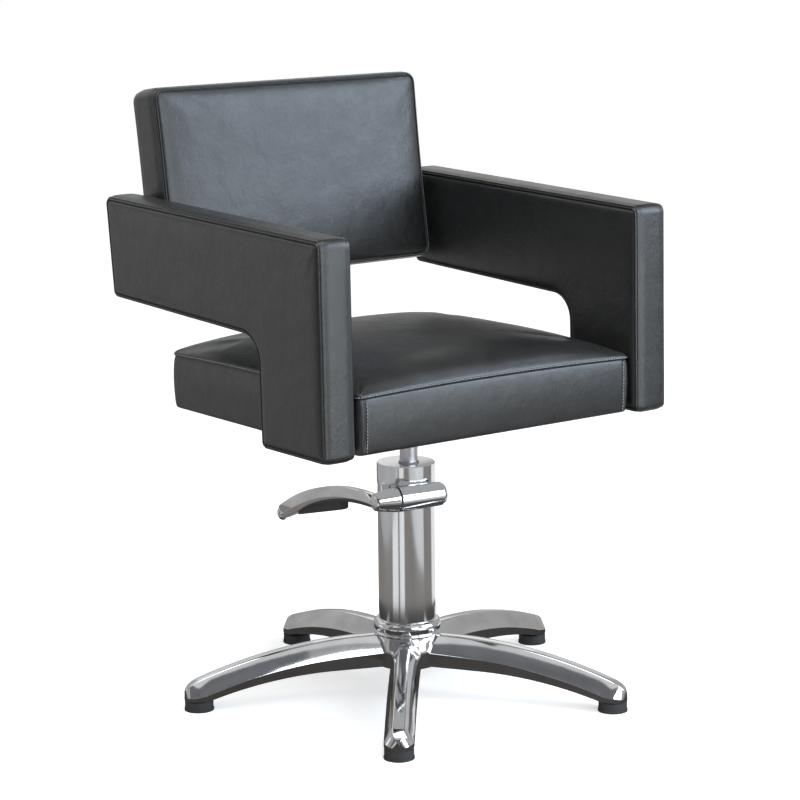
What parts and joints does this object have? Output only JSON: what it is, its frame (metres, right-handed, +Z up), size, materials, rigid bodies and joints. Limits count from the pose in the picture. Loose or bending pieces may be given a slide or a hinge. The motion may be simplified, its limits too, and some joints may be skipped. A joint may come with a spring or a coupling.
{
  "type": "hairdressing chair",
  "caption": "Boxed upholstered armchair on a hydraulic pump with a foot lever and a star base of cast legs; the seat turns and rises.",
  "frame": {"origin": "on the floor, on the axis of the column", "axes": "+Z up, -Y towards the front of the chair, +X to the right of someone who faces its front"},
  "size_m": [0.6188, 0.6106, 0.8533],
  "materials": {
    "star_aluminium": "polished cast aluminium",
    "chrome_plate": "mirror chrome plating",
    "ground_steel": "ground and turned steel",
    "zinc_steel": "bright zinc-plated steel",
    "bronze": "turned bronze",
    "seal_rubber": "satin rubber",
    "glide_rubber": "moulded matt rubber",
    "pedal_rubber": "moulded matt rubber",
    "spring_steel": "oiled spring steel",
    "plate_paint": "black stove enamel",
    "beech": "planed timber",
    "plywood": "sanded plywood",
    "foam": "cut polyurethane foam",
    "leatherette": "black leatherette with a fine grain and a satin sheen",
    "lining_cloth": "black woven cloth"
  },
  "bodies": {
    "base": {"star_base": "star_aluminium", "glide_1": "glide_rubber", "glide_2": "glide_rubber", "glide_3": "glide_rubber", "glide_4": "glide_rubber", "glide_5": "glide_rubber", "glide_studs": "zinc_steel", "base_ring": "chrome_plate", "pump_foot": "ground_steel", "foot_washer": "zinc_steel", "foot_nut": "zinc_steel", "pump_casing": "chrome_plate", "cylinder_tube": "ground_steel", "pump_body": "chrome_plate", "pump_cap": "chrome_plate", "guide_bush": "bronze", "rod_seal": "seal_rubber", "rod_wiper": "seal_rubber", "lever_seal": "seal_rubber", "lever_spring": "spring_steel", "plunger_spring": "spring_steel"},
    "ram": {"piston": "ground_steel", "piston_seal": "seal_rubber"},
    "seat": {"rod_clip": "spring_steel", "piston_rod": "ground_steel", "seat_plate": "plate_paint", "plate_bolts": "zinc_steel", "tee_nuts": "zinc_steel", "seat_frame": "beech", "seat_board": "plywood", "seat_foam": "foam", "seat_cover": "leatherette", "underlining": "lining_cloth", "left_arm_core": "plywood", "left_arm_foam": "foam", "left_arm_cover": "leatherette", "left_arm_bolts": "zinc_steel", "left_spacers": "seal_rubber", "right_arm_core": "plywood", "right_arm_foam": "foam", "right_arm_cover": "leatherette", "right_arm_bolts": "zinc_steel", "right_spacers": "seal_rubber", "back_core": "beech", "back_foam": "foam", "back_cover": "leatherette", "back_bolts": "zinc_steel", "back_spacers": "seal_rubber"},
    "lever": {"pump_lever": "chrome_plate", "lever_pad": "pedal_rubber", "lever_shaft": "ground_steel", "crank": "ground_steel", "lever_screw": "spring_steel"},
    "plunger": {"plunger": "ground_steel"}
  },
  "joints": [
    {"name": "lift", "type": "slide", "parent": "base", "child": "ram", "axis": [0, 0, 1], "range_m": [0, 0.14]},
    {"name": "swivel", "type": "hinge", "parent": "ram", "child": "seat", "pos_m": [-0.00111, -0.00843, 0], "axis": [0, 0, 1], "continuous": true},
    {"name": "lever_pump", "type": "hinge", "parent": "base", "child": "lever", "pos_m": [-0.00653, -0.04957, 0.295], "axis": [-0.9914, 0.1305, 0], "range_deg": [-8, 20], "stiffness_Nm_per_rad": 8, "springref_deg": -11.63},
    {"name": "plunger_slide", "type": "slide", "parent": "base", "child": "plunger", "axis": [0, 0, -1], "range_m": [-0.0026, 0.0062], "deforming": ["plunger_spring"]}
  ],
  "couplings": [
    {"joint": "plunger_slide", "follows": "lever_pump", "m_per_rad": 0.017}
  ]
}
